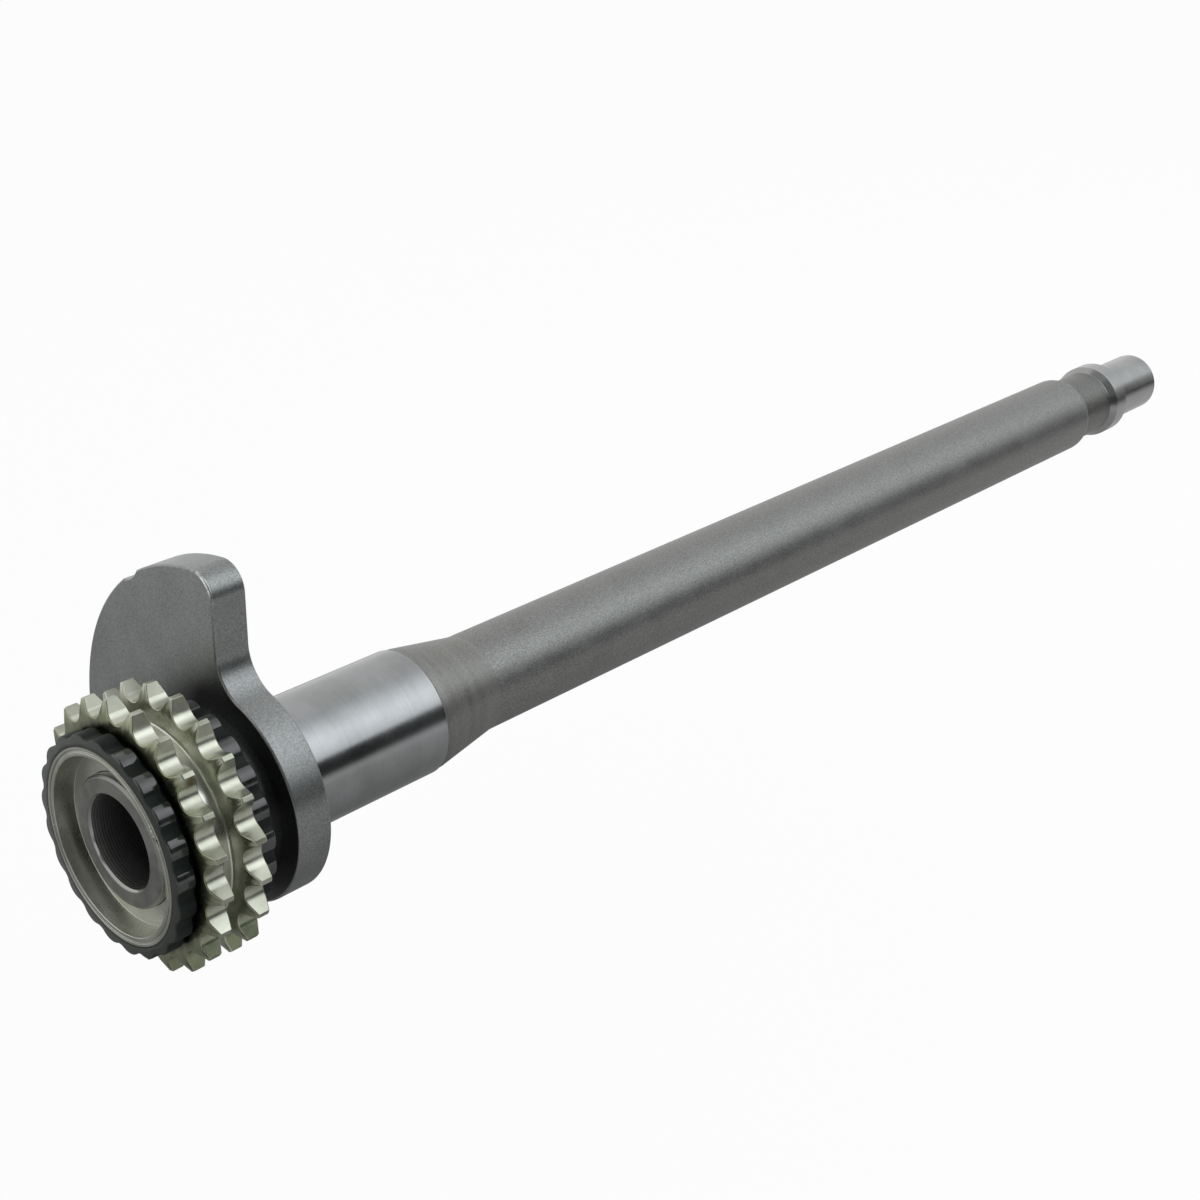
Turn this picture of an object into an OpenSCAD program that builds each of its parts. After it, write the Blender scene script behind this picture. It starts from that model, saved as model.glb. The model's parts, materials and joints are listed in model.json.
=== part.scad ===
// Engine balance shaft with a two-row chain sprocket and rubber damper rings.
// Units are millimetres. The shaft's axis lies along X, sprocket end at -X,
// and the origin is on the axis at the middle of the front bearing journal.

/* [Chain sprocket] */
// Pitch of the timing chain
chain_pitch = 9.525; // [8:0.005:12.7]
// Diameter of the chain's rollers
roller_d = 6.35; // [5:0.05:7]
// Number of teeth in each row
teeth = 21; // [17:1:31]
// Distance between the two tooth rows
row_spacing = 10.24; // [9:0.02:14]
// Width of a tooth at its root
tooth_w = 5.2; // [3.5:0.1:6]
// Height of a tooth above the pitch circle
tooth_rise = 1.25; // [0.8:0.05:1.8]
// Angle between the two flanks' contact points on a roller
seat_angle = 118; // [112:1:126]
// Radius that rounds the sides of a tooth towards its tip
tooth_side_r = 9.5; // [7:0.5:14]
// Turn of the first tooth about the axis
tooth_turn = 13.1; // [0:0.1:17]
// Radius at the bottom of the groove between the rows
groove_r = 24.6; // [23:0.1:27]
// Radius of that groove's two corners
groove_corner_r = 0.6; // [0.3:0.1:1.2]

/* [Sprocket hub] */
// Radius of the hub that carries the damper rings
hub_r = 24; // [23:0.1:25]
// Length of hub outside each tooth row
ring_seat_w = 5.4; // [4:0.1:8]
// Width of the rim around the dish
rim_w = 2.3; // [1.8:0.1:2.8]
// Narrowing of the dish from its mouth to its floor
dish_taper = 0.8; // [0.2:0.1:2]
// Depth of the dish
dish_depth = 5.06; // [3.5:0.02:8]
// Distance from the rim's outer edge to the middle of its fine groove
rim_groove_in = 1.1; // [0.8:0.1:1.4]
// Width of that groove
rim_groove_w = 0.5; // [0.2:0.1:0.6]
// Depth of that groove
rim_groove_depth = 0.35; // [0.1:0.05:0.8]

/* [Damper rings] */
// Thickness of the rubber between two lugs
rubber_t = 1.9; // [1.3:0.05:2.2]
// Height of a lug
lug_rise = 1; // [0.5:0.05:1.3]
// Radius that rounds the crest of a lug
lug_r = 4.5; // [2:0.1:5.5]
// Length of a lug along the axis
lug_len = 4.7; // [3:0.1:5.2]
// Thickness of the plain skirt between the lugs and the teeth
skirt_t = 1.3; // [0.6:0.05:1.9]
// Chamfer along the outer edge of the lugs
lug_chamfer = 0.5; // [0.2:0.1:1]

/* [Counterweight] */
// Thickness of the counterweight plate
plate_t = 9.4; // [6:0.1:14]
// Radius of the plate's round hub
plate_hub_r = 27.3; // [24:0.1:30]
// Outer radius of the lobe
lobe_r = 56; // [50:0.1:64]
// Half of the angle that the lobe spans
lobe_half_angle = 46; // [30:0.5:50]
// Radius of the lobe's outer corners
lobe_corner_r = 6.5; // [4:0.1:9]
// Radius of the hollow fillets between the lobe and the hub
lobe_fillet_r = 10.5; // [6:0.1:13]
// Lean of the lobe from straight up, about the axis
lobe_lean = 43.9; // [0:0.1:90]
// Width of the broken edges of the plate
plate_edge = 0.5; // [0.3:0.1:1.5]
// Depth of the balancing cut in the lobe's rim
notch_depth = 0.9; // [0.4:0.1:1.5]
// Radius of the cutter that made it
notch_r = 9; // [6:0.5:14]
// Place of the cut, from the middle of the lobe
notch_angle = 10.5; // [-20:0.5:20]

/* [Nose] */
// Radius of the nose that the sprocket is pressed on
nose_r = 16.2; // [14:0.1:18]
// Height of the nose above the floor of the dish
nose_proud = 2.36; // [0.5:0.02:3]
// Radius of the blind bore in the nose
bore_r = 11.4; // [9:0.1:12.5]
// Depth of the bore's straight wall
bore_depth = 22; // [20:1:45]
// Chamfer at the mouth of the bore
bore_chamfer = 0.55; // [0.2:0.05:1.2]
// Radius of the shoulder behind the sprocket
shoulder_r = 21; // [19:0.1:23]
// Length of that shoulder
shoulder_len = 5.66; // [3:0.02:12]

/* [Front journal] */
// Radius of the front bearing journal
journal_r = 16.75; // [15:0.05:19]
// Length of the front bearing journal
journal_len = 45.8; // [30:0.1:60]
// Radius of the fillet between plate and journal
journal_fillet_r = 1; // [0.5:0.1:2]
// Length of the plain band behind the journal
band_len = 2.4; // [1:0.1:6]
// Step down from the journal to the band
band_step = 0.4; // [0.3:0.05:0.8]
// Length of the taper down to the rod
taper_len = 19; // [12:0.5:30]

/* [Rod] */
// Radius of the rod
rod_r = 13.15; // [11.8:0.05:14.5]
// Length of the rod behind the taper
rod_len = 297; // [180:0.5:400]
// Radius that rounds the rear end of the rod
rod_end_r = 4; // [2:0.1:6]

/* [Rear end] */
// Radius of the neck behind the rod
neck_r = 11.3; // [10.8:0.05:11.6]
// Length of the neck
neck_len = 16; // [8:0.1:24]
// Radius of the collar
collar_r = 12.9; // [11.8:0.05:14]
// Length of the collar
collar_len = 9.5; // [6:0.1:18]
// Length of the collar's sloped front edge
collar_slope = 2.5; // [1:0.1:4]
// Radius of the rear bearing journal
tail_r = 10.25; // [8:0.05:10.5]
// Length of the rear bearing journal
tail_len = 26.5; // [18:0.1:45]

/* [Edges and fits] */
// Chamfer on turned edges
edge = 0.6; // [0.2:0.1:1]
// Room between pieces that are pressed or bonded together
fit_gap = 0.02; // [0:0.01:0.1]

/* [Hidden] */
$fn = 96;
// Extra length of a cut so that it clears the surface
clear = 1;
// Points along a rounded stretch of a turned profile
arc_steps = 8;
// Point angle of the drill that opened the bore
drill_point = 118;
// Roller seat radius as a share of the roller's diameter
seat_ratio = 0.505;
// Drop from the tooth roots to the webs under them
web_drop = 0.35;
// Small overlap of rounds with the sides that they run into
lap = 0.03;
// The same overlap as an angle along the lobe's rim
lap_angle = 0.3;

// Stations along the axis, from the origin outwards
journal_front = -journal_len / 2;
journal_rear = journal_len / 2;
plate_front = journal_front - plate_t;
hub_rear = plate_front - shoulder_len;
hub_w = 2 * ring_seat_w + tooth_w + row_spacing;
hub_front = hub_rear - hub_w;
dish_floor = hub_front + dish_depth;
nose_face = dish_floor - nose_proud;
taper_front = journal_rear + band_len;
taper_rear = taper_front + taper_len;
rod_rear = taper_rear + rod_len;
neck_rear = rod_rear + neck_len;
collar_rear = neck_rear + collar_len;
tail_end = collar_rear + tail_len;

// Sizes of the teeth
pitch_r = chain_pitch / (2 * sin(180 / teeth));
tip_r = pitch_r + tooth_rise;
seat_r = seat_ratio * roller_d;
root_r = pitch_r - seat_r;
web_r = root_r - web_drop;
front_row = hub_front + ring_seat_w + tooth_w / 2;
tooth_step = 360 / teeth;

// Radii of the dish and of the fine groove in its rim
dish_mouth_r = hub_r - rim_w;
dish_floor_r = dish_mouth_r - dish_taper;
rim_groove_r = hub_r - rim_groove_in;

// Sizes of the damper rings
valley_r = hub_r + rubber_t;
crest_r = valley_r + lug_rise;
skirt_r = hub_r + skirt_t;

// Centres of the lobe's corner circles and of its hollow fillets
corner_reach = lobe_r - lobe_corner_r;
corner_angle = lobe_half_angle - asin(lobe_corner_r / corner_reach);
fillet_reach = plate_hub_r + lobe_fillet_r;
fillet_angle = lobe_half_angle + asin(lobe_fillet_r / fillet_reach);
// Ends of the lobe's flat sides, measured from the axis
flat_start = fillet_reach * cos(fillet_angle - lobe_half_angle);
flat_end = corner_reach * cos(lobe_half_angle - corner_angle);

function polar(r, a) = r * [cos(a), sin(a)];
function arc(centre, r, from, to) =
    [for (i = [0:arc_steps]) centre + polar(r, from + (to - from) * i / arc_steps)];

// Turns a shape made along Z so that it lies along X, with its own X along Y
module along_x() {
    rotate([90, 0, 90]) children();
}

// A turned solid about the X axis, from points of radius and station
module turned(points) {
    along_x() rotate_extrude() polygon(points);
}

// Round piece of the plate with both of its edges broken
module plate_disc(r) {
    rotate_extrude() polygon([[0, 0], [r - plate_edge, 0], [r, plate_edge],
        [r, plate_t - plate_edge], [r - plate_edge, plate_t], [0, plate_t]]);
}

// Middle of the lobe, between its two rounded corners
module lobe_middle() {
    half = corner_angle + lap_angle;
    intersection() {
        plate_disc(lobe_r);
        translate([0, 0, -clear]) linear_extrude(plate_t + 2 * clear)
            polygon([[0, 0], polar(2 * lobe_r, -half), [2 * lobe_r, 0], polar(2 * lobe_r, half)]);
    }
}

// Plain core of the lobe, out to its flat sides and the centres of its rounds
module lobe_core() {
    linear_extrude(plate_t) polygon([
        [0, 0], polar(fillet_reach, -fillet_angle), polar(flat_start, -lobe_half_angle),
        polar(flat_end, -lobe_half_angle), polar(corner_reach, -corner_angle),
        polar(corner_reach, corner_angle), polar(flat_end, lobe_half_angle),
        polar(flat_start, lobe_half_angle), polar(fillet_reach, fillet_angle)]);
}

// Cutter of a hollow fillet, flared at both faces to break its edges
module fillet_cut() {
    r = lobe_fillet_r + lap;
    flare = plate_edge + clear;
    rotate_extrude() polygon([[0, -clear], [r + flare, -clear], [r, plate_edge],
        [r, plate_t - plate_edge], [r + flare, plate_t + clear], [0, plate_t + clear]]);
}

// Cutter that breaks the lower edge of the flat side at plus angle
module flat_edge_cut() {
    far = flat_end + lobe_corner_r - flat_start;
    flare = plate_edge + clear;
    rotate(lobe_half_angle) translate([flat_start, 0, 0]) rotate([90, 0, 90])
        linear_extrude(far) polygon([[clear, -clear], [clear, flare], [-flare, -clear]]);
}

// Counterweight plate with its lobe along its own X, on its own front face
module plate_blank() {
    difference() {
        union() {
            plate_disc(plate_hub_r);
            lobe_middle();
            lobe_core();
            for (side = [-1, 1])
                translate(polar(corner_reach, side * corner_angle)) plate_disc(lobe_corner_r + lap);
        }
        for (side = [-1, 1])
            translate(polar(fillet_reach, side * fillet_angle)) fillet_cut();
        for (side = [0, 1], face = [0, 1])
            mirror([0, side, 0]) translate([0, 0, face * plate_t]) mirror([0, 0, face])
                flat_edge_cut();
    }
}

module counterweight_plate() {
    translate([plate_front, 0, 0]) along_x() rotate(90 - lobe_lean) difference() {
        plate_blank();
        rotate(notch_angle) translate([lobe_r + notch_r - notch_depth, 0, -clear])
            cylinder(r = notch_r, h = plate_t + 2 * clear);
    }
}

// Turned outline of the whole shaft, from the nose to the tail
module shaft_body() {
    turned(concat(
        [[0, nose_face], [nose_r - edge, nose_face], [nose_r, nose_face + edge],
         [nose_r, hub_rear], [shoulder_r - edge, hub_rear], [shoulder_r, hub_rear + edge],
         [shoulder_r, plate_front + plate_t / 2],
         [journal_r + journal_fillet_r, plate_front + plate_t / 2]],
        arc([journal_r + journal_fillet_r, journal_front + journal_fillet_r - lap],
            journal_fillet_r, 270, 180),
        [[journal_r, journal_rear], [journal_r - band_step, journal_rear + band_step],
         [journal_r - band_step, taper_front], [rod_r, taper_rear]],
        arc([rod_r - rod_end_r, rod_rear - rod_end_r], rod_end_r, 0,
            acos((neck_r - rod_r + rod_end_r) / rod_end_r)),
        [[neck_r, neck_rear], [collar_r, neck_rear + collar_slope],
         [collar_r, collar_rear - edge], [collar_r - edge, collar_rear],
         [tail_r, collar_rear], [tail_r, tail_end - edge], [tail_r - edge, tail_end],
         [0, tail_end]]));
}

// Blind bore in the nose, with its chamfered mouth and drill point
module nose_bore() {
    point_depth = bore_r / tan(drill_point / 2);
    translate([nose_face, 0, 0]) along_x() {
        translate([0, 0, -clear]) cylinder(r = bore_r, h = bore_depth + clear);
        translate([0, 0, bore_depth]) cylinder(r1 = bore_r, r2 = 0, h = point_depth);
        translate([0, 0, -clear])
            cylinder(r1 = bore_r + bore_chamfer + clear, r2 = bore_r, h = bore_chamfer + clear);
    }
}

module balance_shaft() {
    color("slategray") difference() {
        union() {
            shaft_body();
            counterweight_plate();
        }
        nose_bore();
    }
}

// Outline of one gap between two teeth, for a roller on the pitch circle along X
module tooth_gap() {
    start = seat_r - lap;
    reach = 2 * tooth_rise + seat_r;
    touch = 180 - seat_angle / 2;
    translate([pitch_r, 0]) {
        circle(r = seat_r);
        polygon([polar(start, -touch), polar(start, -touch) + polar(reach, 90 - touch),
                 polar(start, touch) + polar(reach, touch - 90), polar(start, touch)]);
    }
}

// One row of teeth, centred on its own plane, with rounded tooth sides
module tooth_row() {
    side_shift = tooth_side_r - tooth_w / 2;
    row_foot_r = (groove_r + web_r) / 2;
    difference() {
        rotate_extrude() intersection() {
            translate([root_r, side_shift]) circle(r = tooth_side_r);
            translate([root_r, -side_shift]) circle(r = tooth_side_r);
            translate([row_foot_r, -tooth_w]) square([tip_r - row_foot_r, 2 * tooth_w]);
        }
        for (i = [0:teeth - 1])
            rotate(tooth_turn + (i + 0.5) * tooth_step) translate([0, 0, -tooth_w])
                linear_extrude(2 * tooth_w) tooth_gap();
    }
}

// Turned body of the sprocket: dished hub, webs under the rows and the groove between them
module sprocket_body() {
    bore = nose_r + fit_gap;
    web_front = hub_front + ring_seat_w;
    web_rear = hub_rear - ring_seat_w;
    groove_front = web_front + tooth_w;
    groove_rear = web_rear - tooth_w;
    corner_r = groove_r + groove_corner_r;
    groove_outer = rim_groove_r + rim_groove_w / 2;
    groove_inner = rim_groove_r - rim_groove_w / 2;
    turned(concat(
        [[dish_mouth_r, hub_front], [groove_inner, hub_front],
         [groove_inner, hub_front + rim_groove_depth], [groove_outer, hub_front + rim_groove_depth],
         [groove_outer, hub_front], [hub_r, hub_front],
         [hub_r, web_front], [web_r, web_front], [web_r, groove_front]],
        arc([corner_r, groove_front + groove_corner_r], groove_corner_r, 270, 180),
        arc([corner_r, groove_rear - groove_corner_r], groove_corner_r, 180, 90),
        [[web_r, groove_rear], [web_r, web_rear], [hub_r, web_rear],
         [hub_r, hub_rear - edge], [hub_r - edge, hub_rear], [bore + edge, hub_rear],
         [bore, hub_rear - edge], [bore, dish_floor], [dish_floor_r, dish_floor]]));
}

module drive_sprocket() {
    color("beige") union() {
        sprocket_body();
        for (row = [0, 1])
            translate([front_row + row * row_spacing, 0, 0]) along_x() tooth_row();
    }
}

// Rubber ring with its lugs at its own low end, bored to sit on the hub
module damper_ring() {
    width = ring_seat_w - fit_gap;
    difference() {
        intersection() {
            union() {
                cylinder(r = skirt_r, h = width);
                linear_extrude(lug_len) {
                    circle(r = valley_r);
                    for (i = [0:teeth - 1])
                        rotate((i + 0.5) * tooth_step)
                            translate([crest_r - lug_r, 0]) circle(r = lug_r);
                }
            }
            rotate_extrude() polygon([[0, 0], [crest_r - lug_chamfer, 0],
                [crest_r + clear, lug_chamfer + clear], [crest_r + clear, width], [0, width]]);
        }
        translate([0, 0, -clear]) cylinder(r = hub_r + fit_gap, h = width + 2 * clear);
    }
}

module front_damper_ring() {
    color("dimgray") translate([hub_front, 0, 0]) along_x() rotate(tooth_turn) damper_ring();
}

module rear_damper_ring() {
    color("dimgray") translate([hub_rear, 0, 0]) along_x() rotate(tooth_turn)
        mirror([0, 0, 1]) damper_ring();
}

balance_shaft();
drive_sprocket();
front_damper_ring();
rear_damper_ring();
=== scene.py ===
"""Dressed model of an engine balance shaft with a two-row chain sprocket and rubber damper rings."""

import json
import math

import bmesh
import bpy
import numpy as np
from mathutils import Matrix, Vector


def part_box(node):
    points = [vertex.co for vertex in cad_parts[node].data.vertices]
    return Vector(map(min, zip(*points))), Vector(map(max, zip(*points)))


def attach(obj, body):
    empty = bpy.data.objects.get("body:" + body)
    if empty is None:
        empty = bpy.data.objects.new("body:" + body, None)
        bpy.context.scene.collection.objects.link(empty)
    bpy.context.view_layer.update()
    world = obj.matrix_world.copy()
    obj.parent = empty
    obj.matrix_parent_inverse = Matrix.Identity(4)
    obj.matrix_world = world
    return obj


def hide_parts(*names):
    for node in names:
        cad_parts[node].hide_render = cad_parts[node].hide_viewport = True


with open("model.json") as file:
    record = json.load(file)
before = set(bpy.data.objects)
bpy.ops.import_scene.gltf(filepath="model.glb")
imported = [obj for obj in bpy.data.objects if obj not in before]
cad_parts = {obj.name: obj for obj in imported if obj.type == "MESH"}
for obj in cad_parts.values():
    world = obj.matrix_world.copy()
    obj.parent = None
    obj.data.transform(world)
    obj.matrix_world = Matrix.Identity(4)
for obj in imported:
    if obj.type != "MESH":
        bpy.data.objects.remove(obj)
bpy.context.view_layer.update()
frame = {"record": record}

MM = 0.001
mounts = {mount["name"]: mount["dims"]["r_mm"] for mount in frame["record"]["mounts"]}
shaft_low, shaft_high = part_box("balance_shaft")
hub_low, hub_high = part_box("drive_sprocket")

# Fineness of the meshes
TURN_STEPS = 256
HUB_ARC_STEPS = 120
RIM_ARC_STEPS = 50
ROUND_STEPS = 28
SMALL_ROUND_STEPS = 14
EDGE_STEPS = 6
TOOTH_SIDE_STEPS = 5
LUG_STEPS = 30

# Lengths along the axis in millimetres
SHOULDER_LEN = 5.66
PLATE_T = 9.4
JOURNAL_LEN = 45.8
BAND_LEN = 2.4
TAPER_LEN = 19.0
ROD_LEN = 297.0
NECK_LEN = 16.0
COLLAR_LEN = 9.5
COLLAR_SLOPE = 2.5
DISH_DEPTH = 5.06
BORE_DEPTH = 22.0

# Stations along the axis in millimetres, from the middle of the front journal
NOSE_FACE = shaft_low.x / MM
TAIL_END = shaft_high.x / MM
HUB_FRONT = hub_low.x / MM
HUB_REAR = hub_high.x / MM
DISH_FLOOR = HUB_FRONT + DISH_DEPTH
PLATE_FRONT = HUB_REAR + SHOULDER_LEN
JOURNAL_FRONT = PLATE_FRONT + PLATE_T
JOURNAL_REAR = JOURNAL_FRONT + JOURNAL_LEN
TAPER_FRONT = JOURNAL_REAR + BAND_LEN
TAPER_REAR = TAPER_FRONT + TAPER_LEN
ROD_REAR = TAPER_REAR + ROD_LEN
NECK_REAR = ROD_REAR + NECK_LEN
COLLAR_REAR = NECK_REAR + COLLAR_LEN

# Radii of the shaft in millimetres
JOURNAL_R = mounts["front_journal"]
TAIL_R = mounts["rear_journal"]
BORE_R = mounts["nose_bore"]
BORE_CHAMFER = 0.55
DRILL_HALF_ANGLE = 59.0
NOSE_R = 16.2
SHOULDER_R = 21.0
JOURNAL_FILLET = 1.0
BAND_R = 16.35
ROD_R = 13.15
ROD_END_ROUND = 4.0
NECK_R = 11.3
COLLAR_R = 12.9
EDGE = 0.6
SHAFT_SOFTNESS = 0.3

# Counterweight plate in millimetres and degrees
PLATE_HUB_R = 27.3
LOBE_R = 56.0
LOBE_HALF = 46.0
CORNER_R = 6.5
FILLET_R = 10.5
LOBE_LEAN = 43.9
NOTCH_DEPTH = 0.9
NOTCH_R = 9.0
NOTCH_ANGLE = 10.5
PLATE_ROUND = 0.55

# Sprocket in millimetres and degrees
PITCH = 9.525
ROLLER_D = 6.35
SEAT_RATIO = 0.505
TEETH = 21
ROW_SPACING = 10.24
TOOTH_W = 5.2
TOOTH_RISE = 1.25
SEAT_ANGLE = 118.0
TOOTH_SIDE_R = 9.5
TOOTH_TURN = 13.1
TOOTH_EDGE = 0.28
TOOTH_CORNER = 0.35
TOOTH_LEAST_TURN = 14.0
TIP_DEPTH = 0.12
GROOVE_R = 24.6
GROOVE_CORNER_R = 0.6
HUB_R = 24.0
HUB_SOFTNESS = 0.22
RING_SEAT_W = 5.4
RIM_W = 2.3
DISH_TAPER = 0.8
RIM_GROOVE_IN = 1.1
RIM_GROOVE_W = 0.5
RIM_GROOVE_DEPTH = 0.35
WEB_DROP = 0.35
WEB_RECESS = 0.15
FIT_GAP = 0.02
STEP = 360.0 / TEETH
PITCH_R = PITCH / (2 * math.sin(math.pi / TEETH))
SEAT_R = SEAT_RATIO * ROLLER_D
ROOT_R = PITCH_R - SEAT_R
TIP_R = PITCH_R + TOOTH_RISE
WEB_R = ROOT_R - WEB_DROP
WEB_FRONT = HUB_FRONT + RING_SEAT_W
WEB_REAR = HUB_REAR - RING_SEAT_W
ROW_MIDDLES = (WEB_FRONT + TOOTH_W / 2, WEB_FRONT + TOOTH_W / 2 + ROW_SPACING)

# Damper rings in millimetres
RUBBER_T = 1.9
LUG_RISE = 1.0
LUG_R = 4.5
LUG_LEN = 4.7
LUG_ROUND = 0.5
LUG_BLEND = 9.0
RUBBED_DEPTH = 0.5
# Glossier lug crests only between these angles in degrees, where the key light's highlights fall
FRONT_HIGHLIGHT_SPAN = (100.0, 182.0)
REAR_HIGHLIGHT_SPAN = (85.0, 195.0)
SKIRT_T = 1.3
SKIRT_ROUND = 0.05
VALLEY_R = HUB_R + RUBBER_T
CREST_R = VALLEY_R + LUG_RISE


def polar(r, degrees):
    """Point in the plane across the shaft."""
    a = math.radians(degrees)
    return np.array([r * math.cos(a), r * math.sin(a)])


def arc(centre, r, start, end, count):
    """Points along an arc, both ends included."""
    turns = [start + (end - start) * i / (count - 1) for i in range(count)]
    return [np.asarray(centre) + polar(r, turn) for turn in turns]


def soften(points, radius, closed=False, least_turn=9.0, steps=4, most_of_side=0.45):
    """Rounds the corners of a line. A point may carry the zone of the stretch that starts there."""
    made = []
    count = len(points)
    for i, point in enumerate(points):
        here = np.array(point[:2], float)
        zone = point[2] if len(point) > 2 else 0
        if not closed and i in (0, count - 1):
            made.append((here[0], here[1], zone))
            continue
        back = np.array(points[i - 1][:2], float) - here
        ahead = np.array(points[(i + 1) % count][:2], float) - here
        back_len = np.linalg.norm(back)
        ahead_len = np.linalg.norm(ahead)
        turn = math.acos(np.clip(-(back @ ahead) / (back_len * ahead_len), -1, 1))
        if math.degrees(turn) < least_turn:
            made.append((here[0], here[1], zone))
            continue
        cut = min(radius * math.tan(turn / 2), most_of_side * back_len, most_of_side * ahead_len)
        first = here + back / back_len * cut
        last = here + ahead / ahead_len * cut
        for k in range(steps + 1):
            t = k / steps
            at = (1 - t) ** 2 * first + 2 * t * (1 - t) * here + t * t * last
            made.append((at[0], at[1], zone))
    return made


def out_normals(line):
    """Outward normals of a closed line of points that runs counter-clockwise."""
    along = np.roll(line, -1, axis=0) - np.roll(line, 1, axis=0)
    along /= np.linalg.norm(along, axis=1)[:, None]
    return np.stack([along[:, 1], -along[:, 0]], axis=1)


def quarter_round(radius, steps):
    """Inset and drop of the points of a quarter round, from a flat face to a wall."""
    turns = [math.radians(90 * k / steps) for k in range(steps + 1)]
    return [(radius * (1 - math.sin(t)), radius * (1 - math.cos(t))) for t in turns]


class Surface:
    """Gathers patches of one piece before they become a mesh."""

    MERGE = 0.0005
    FLAT_FACE_WEIGHT = 100

    def __init__(self):
        self.points = []
        self.faces = []
        self.zones = []
        self.count = 0

    def patch(self, grid, zones, wrap_cols):
        """Adds a grid of points whose rows go round the shaft.

        zones has one entry for each column or point.
        """
        rows, cols = grid.shape[:2]
        spans = cols if wrap_cols else cols - 1
        zones = np.broadcast_to(zones, (rows, cols)).tolist()
        self.points.append(grid.reshape(-1, 3))
        for r in range(rows):
            low = self.count + r * cols
            high = self.count + (r + 1) % rows * cols
            for c in range(spans):
                d = (c + 1) % cols
                self.faces.append((low + c, low + d, high + d, high + c))
                self.zones.append(zones[r][c])
        self.count += rows * cols

    def cap(self, ring, zone):
        """Adds one flat face along a ring of points."""
        self.points.append(ring)
        self.faces.append(tuple(range(self.count, self.count + len(ring))))
        self.zones.append(zone)
        self.count += len(ring)

    def build(self, name, materials):
        """Joins the patches into one smooth object."""
        mesh = bpy.data.meshes.new(name)
        points = np.concatenate(self.points) * MM
        mesh.from_pydata(points.tolist(), [], self.faces)
        mesh.polygons.foreach_set("material_index", self.zones)
        for material in materials:
            mesh.materials.append(material)
        work = bmesh.new()
        work.from_mesh(mesh)
        bmesh.ops.remove_doubles(work, verts=work.verts, dist=self.MERGE * MM)
        bmesh.ops.recalc_face_normals(work, faces=work.faces)
        for face in work.faces:
            face.smooth = True
        work.to_mesh(mesh)
        work.free()
        piece = bpy.data.objects.new(name, mesh)
        bpy.context.scene.collection.objects.link(piece)
        normals = piece.modifiers.new("flat_faces_stay_flat", "WEIGHTED_NORMAL")
        normals.mode = "FACE_AREA"
        normals.weight = self.FLAT_FACE_WEIGHT
        return piece


def turned_grid(profile):
    """Grid of points for a profile of station and radius turned about the shaft's axis."""
    angles = np.arange(TURN_STEPS) * 2 * math.pi / TURN_STEPS
    station = np.array([p[0] for p in profile])
    radius = np.array([p[1] for p in profile])
    grid = np.zeros((TURN_STEPS, len(profile), 3))
    grid[:, :, 0] = station[None, :]
    grid[:, :, 1] = np.cos(angles)[:, None] * radius[None, :]
    grid[:, :, 2] = np.sin(angles)[:, None] * radius[None, :]
    return grid


def outline_grid(columns):
    """Grid of points from columns, each a line across the shaft and its station or stations."""
    grid = np.zeros((len(columns[0][0]), len(columns), 3))
    for c, (line, station) in enumerate(columns):
        grid[:, c, 0] = station
        grid[:, c, 1:] = line
    return grid


# Finish zones of the shaft and of the sprocket, in the order of their materials
PLATE, FACE, JOURNAL, TAPER, ROD, NOSE, BORE, LIP, NECK, TAIL, WORN_EDGE_AND_HIGHLIGHT = range(11)
TOOTH, DISH, SEAT, TIP, GROOVE = range(5)


def shaft_profile():
    """Station, radius and zone along the shaft, from the drill point of the bore to the tail."""
    point_x = NOSE_FACE + BORE_DEPTH + BORE_R / math.tan(math.radians(DRILL_HALF_ANGLE))
    fillet_centre = (JOURNAL_FRONT + JOURNAL_FILLET, JOURNAL_R + JOURNAL_FILLET)
    fillet = arc(fillet_centre, JOURNAL_FILLET, 180, 270, SMALL_ROUND_STEPS)
    rod_end = math.degrees(math.acos((NECK_R - ROD_R + ROD_END_ROUND) / ROD_END_ROUND))
    end_centre = (ROD_REAR - ROD_END_ROUND, ROD_R - ROD_END_ROUND)
    round_end = arc(end_centre, ROD_END_ROUND, 90, 90 - rod_end, SMALL_ROUND_STEPS)
    inside_plate = PLATE_FRONT + PLATE_T / 2
    line = [
        (point_x, 0, BORE),
        (NOSE_FACE + BORE_DEPTH, BORE_R, BORE),
        (NOSE_FACE + BORE_CHAMFER, BORE_R, LIP),
        (NOSE_FACE, BORE_R + BORE_CHAMFER, NOSE),
        (NOSE_FACE, NOSE_R - EDGE, NOSE),
        (NOSE_FACE + EDGE, NOSE_R, LIP),
        (HUB_REAR, NOSE_R, NOSE),
        (HUB_REAR, SHOULDER_R - EDGE, FACE),
        (HUB_REAR + EDGE, SHOULDER_R, FACE),
        (inside_plate, SHOULDER_R, PLATE),
        (inside_plate, JOURNAL_R + JOURNAL_FILLET, PLATE),
    ]
    line += [(p[0], p[1], JOURNAL) for p in fillet]
    line += [
        (JOURNAL_REAR, JOURNAL_R, TAPER),
        (JOURNAL_REAR + JOURNAL_R - BAND_R, BAND_R, TAPER),
        (TAPER_FRONT, BAND_R, TAPER),
        (TAPER_REAR, ROD_R, ROD),
    ]
    line += [(p[0], p[1], ROD) for p in round_end[:-1]]
    line += [
        (round_end[-1][0], round_end[-1][1], NECK),
        (NECK_REAR, NECK_R, TAIL),
        (NECK_REAR + COLLAR_SLOPE, COLLAR_R, TAIL),
        (COLLAR_REAR - EDGE, COLLAR_R, TAIL),
        (COLLAR_REAR, COLLAR_R - EDGE, TAIL),
        (COLLAR_REAR, TAIL_R, TAIL),
        (TAIL_END - EDGE, TAIL_R, TAIL),
        (TAIL_END, TAIL_R - EDGE, TAIL),
        (TAIL_END, 0, TAIL),
    ]
    return soften(line, SHAFT_SOFTNESS)


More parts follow.
